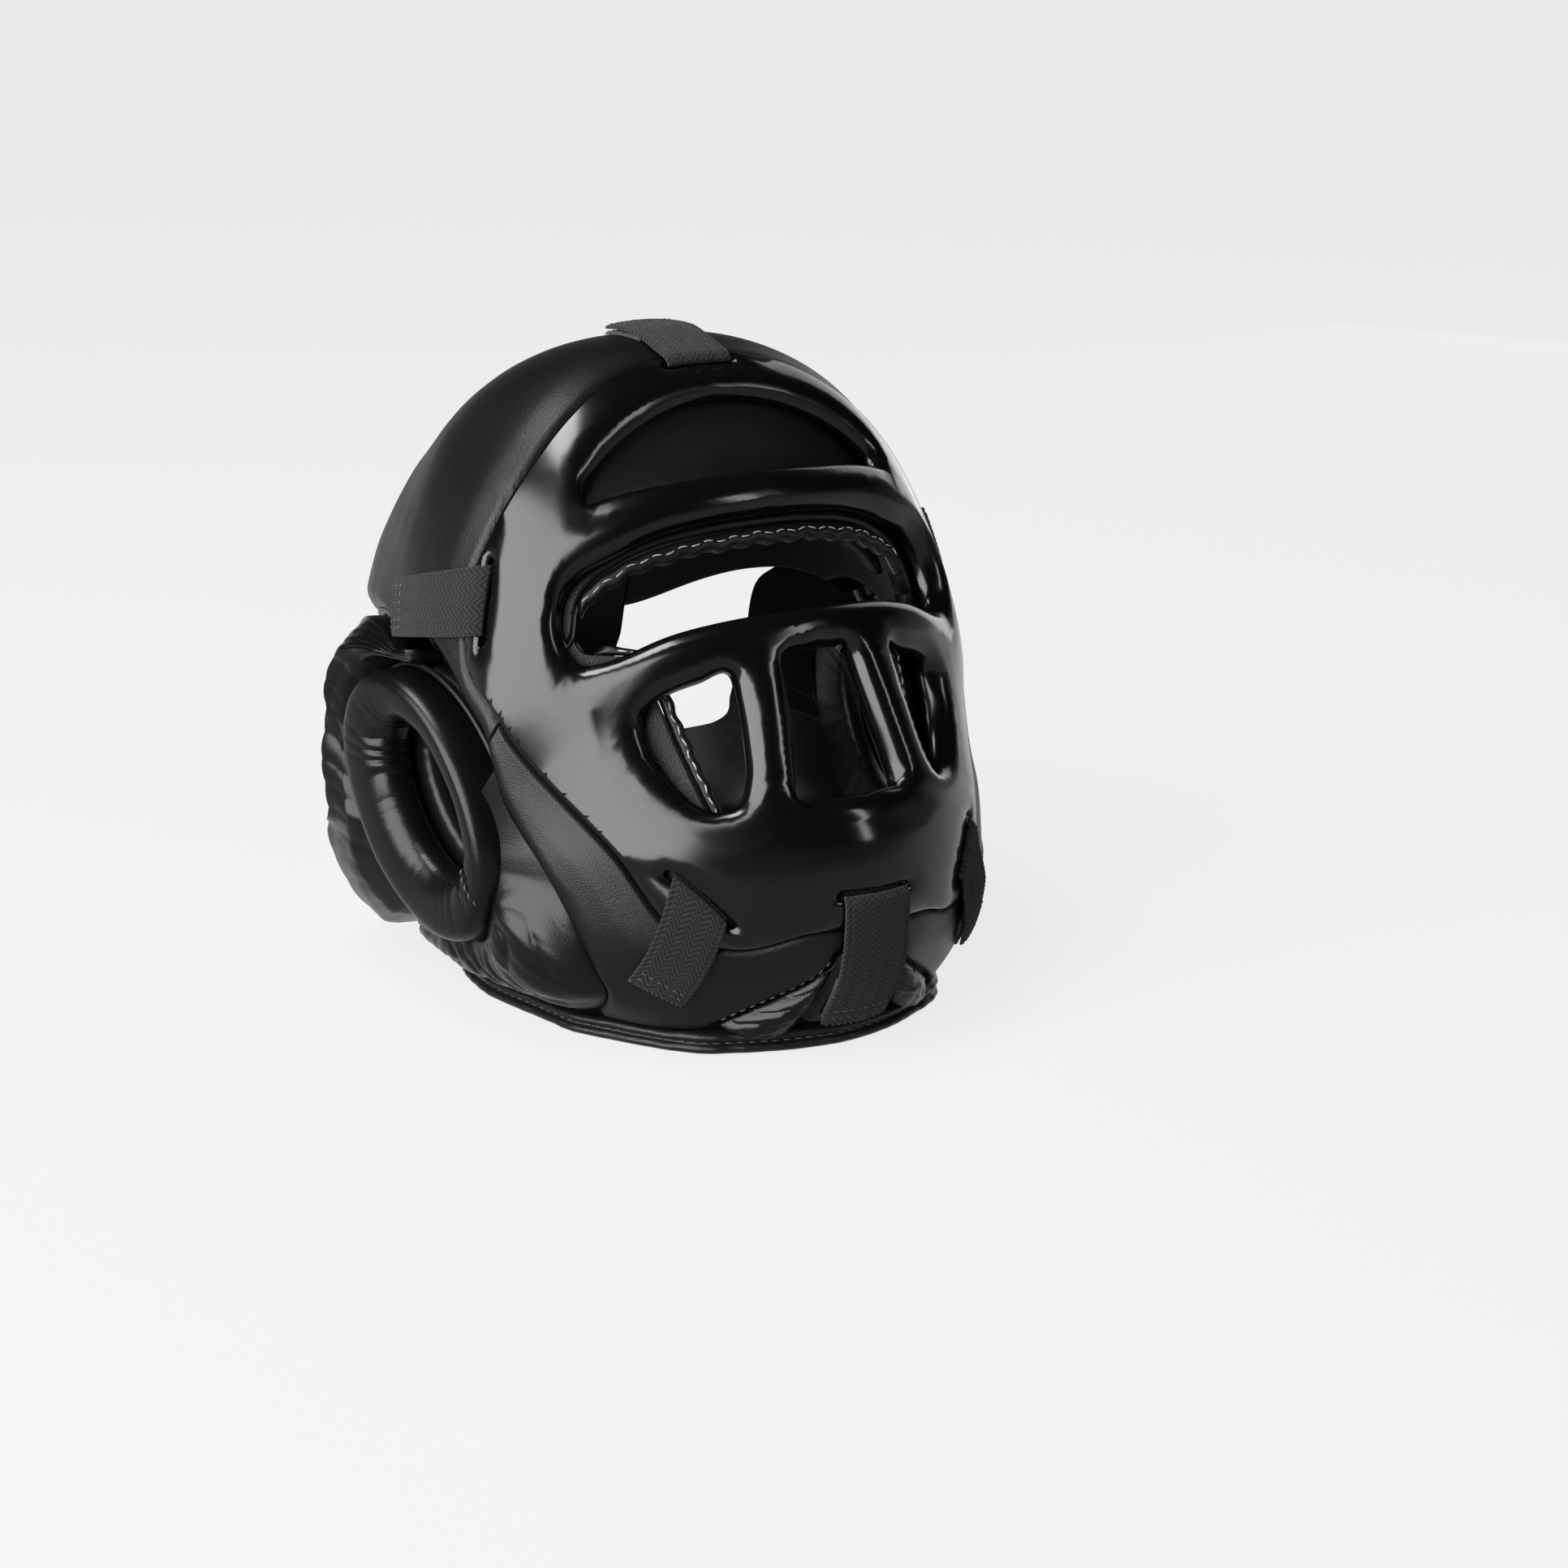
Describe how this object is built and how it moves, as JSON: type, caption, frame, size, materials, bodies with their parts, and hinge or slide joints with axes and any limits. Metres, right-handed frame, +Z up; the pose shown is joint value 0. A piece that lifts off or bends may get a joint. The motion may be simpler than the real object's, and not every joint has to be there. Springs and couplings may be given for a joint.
{
  "type": "boxing headgear",
  "caption": "Padded boxing headgear with a removable moulded face cage held by webbing tabs, stuffed ear rings and an opening rear closure.",
  "frame": {"origin": "centre of the footprint on the plane of the bottom rim", "axes": "+Z up, face opening towards -Y, wearer's left towards +X"},
  "size_m": [0.2254, 0.2532, 0.2289],
  "materials": {
    "moulded_plastic": "glossy black moulded plastic",
    "grained_leather": "fine-grained satin black synthetic leather",
    "smooth_leather": "smooth shiny black synthetic leather",
    "lining": "soft black lining leather",
    "webbing": "dark grey herringbone webbing",
    "loop_pile": "black loop pile",
    "binding": "folded black edge binding"
  },
  "bodies": {
    "shell": {"dome_pad": "grained_leather", "chin_pad": "smooth_leather", "forehead_liner": "lining", "crown_liner": "lining", "brow_binding": "binding", "rim_binding": "binding", "nape_pad": "smooth_leather", "cheek_pad_right": "grained_leather", "cheek_binding_right": "binding", "cheek_liner_right": "lining", "chin_gusset_right": "smooth_leather", "ear_ring_right": "smooth_leather", "ear_panel_right": "lining", "jaw_skirt_right": "smooth_leather", "cheek_pad_left": "grained_leather", "cheek_binding_left": "binding", "cheek_liner_left": "lining", "chin_gusset_left": "smooth_leather", "ear_ring_left": "smooth_leather", "ear_panel_left": "lining", "jaw_skirt_left": "smooth_leather", "top_loop_patch": "loop_pile", "chin_loop_patch": "loop_pile", "temple_right_loop_patch": "loop_pile", "cheek_right_loop_patch": "loop_pile", "temple_left_loop_patch": "loop_pile", "cheek_left_loop_patch": "loop_pile"},
    "cage": {"face_cage": "moulded_plastic", "top_tab_root": "webbing", "chin_tab_root": "webbing", "temple_right_tab_root": "webbing", "cheek_right_tab_root": "webbing", "temple_left_tab_root": "webbing", "cheek_left_tab_root": "webbing"},
    "top_tab": {"top_tab_flap": "webbing"},
    "chin_tab": {"chin_tab_flap": "webbing"},
    "temple_right_tab": {"temple_right_tab_flap": "webbing"},
    "cheek_right_tab": {"cheek_right_tab_flap": "webbing"},
    "temple_left_tab": {"temple_left_tab_flap": "webbing"},
    "cheek_left_tab": {"cheek_left_tab_flap": "webbing"},
    "rear_left": {"rear_wing_left": "smooth_leather"},
    "rear_right": {"rear_wing_right": "smooth_leather", "rear_strap_patch": "loop_pile"},
    "rear_strap_body": {"rear_strap": "webbing"}
  },
  "joints": [
    {"name": "cage_pull_off", "type": "slide", "parent": "shell", "child": "cage", "axis": [0, -0.9659, 0.2588], "range_m": [0, 0.2]},
    {"name": "top_tab_peel", "type": "hinge", "parent": "cage", "child": "top_tab", "pos_m": [0, -0.01598, 0.22085], "axis": [1, 0, 0], "range_deg": [0, 120]},
    {"name": "chin_tab_peel", "type": "hinge", "parent": "cage", "child": "chin_tab", "pos_m": [0, -0.12584, 0.05786], "axis": [-1, 0, 0], "range_deg": [0, 120]},
    {"name": "temple_right_tab_peel", "type": "hinge", "parent": "cage", "child": "temple_right_tab", "pos_m": [-0.09315, -0.02784, 0.14959], "axis": [0.2798, 0.1784, 0.9433], "range_deg": [0, 120]},
    {"name": "cheek_right_tab_peel", "type": "hinge", "parent": "cage", "child": "cheek_right_tab", "pos_m": [-0.05551, -0.10146, 0.05869], "axis": [-0.5586, 0.5072, 0.6562], "range_deg": [0, 120]},
    {"name": "temple_left_tab_peel", "type": "hinge", "parent": "cage", "child": "temple_left_tab", "pos_m": [0.09315, -0.02784, 0.14959], "axis": [0.2798, -0.1784, -0.9433], "range_deg": [0, 120]},
    {"name": "cheek_left_tab_peel", "type": "hinge", "parent": "cage", "child": "cheek_left_tab", "pos_m": [0.05551, -0.10146, 0.05869], "axis": [-0.5586, -0.5072, -0.6562], "range_deg": [0, 120]},
    {"name": "rear_left_swing", "type": "hinge", "parent": "shell", "child": "rear_left", "pos_m": [0.112, 0.028, 0.07], "axis": [0, 0, -1], "range_deg": [0, 20]},
    {"name": "rear_right_swing", "type": "hinge", "parent": "shell", "child": "rear_right", "pos_m": [-0.112, 0.028, 0.07], "axis": [0, 0, 1], "range_deg": [0, 20]},
    {"name": "rear_strap_peel", "type": "hinge", "parent": "rear_left", "child": "rear_strap_body", "pos_m": [0.05228, 0.106, 0.02589], "axis": [-0.0081, -0.5061, -0.8624], "range_deg": [0, 100]}
  ],
  "couplings": [
    {"joint": "rear_right_swing", "follows": "rear_left_swing", "ratio": 1},
    {"joint": "rear_strap_peel", "follows": "rear_left_swing", "ratio": 5}
  ]
}
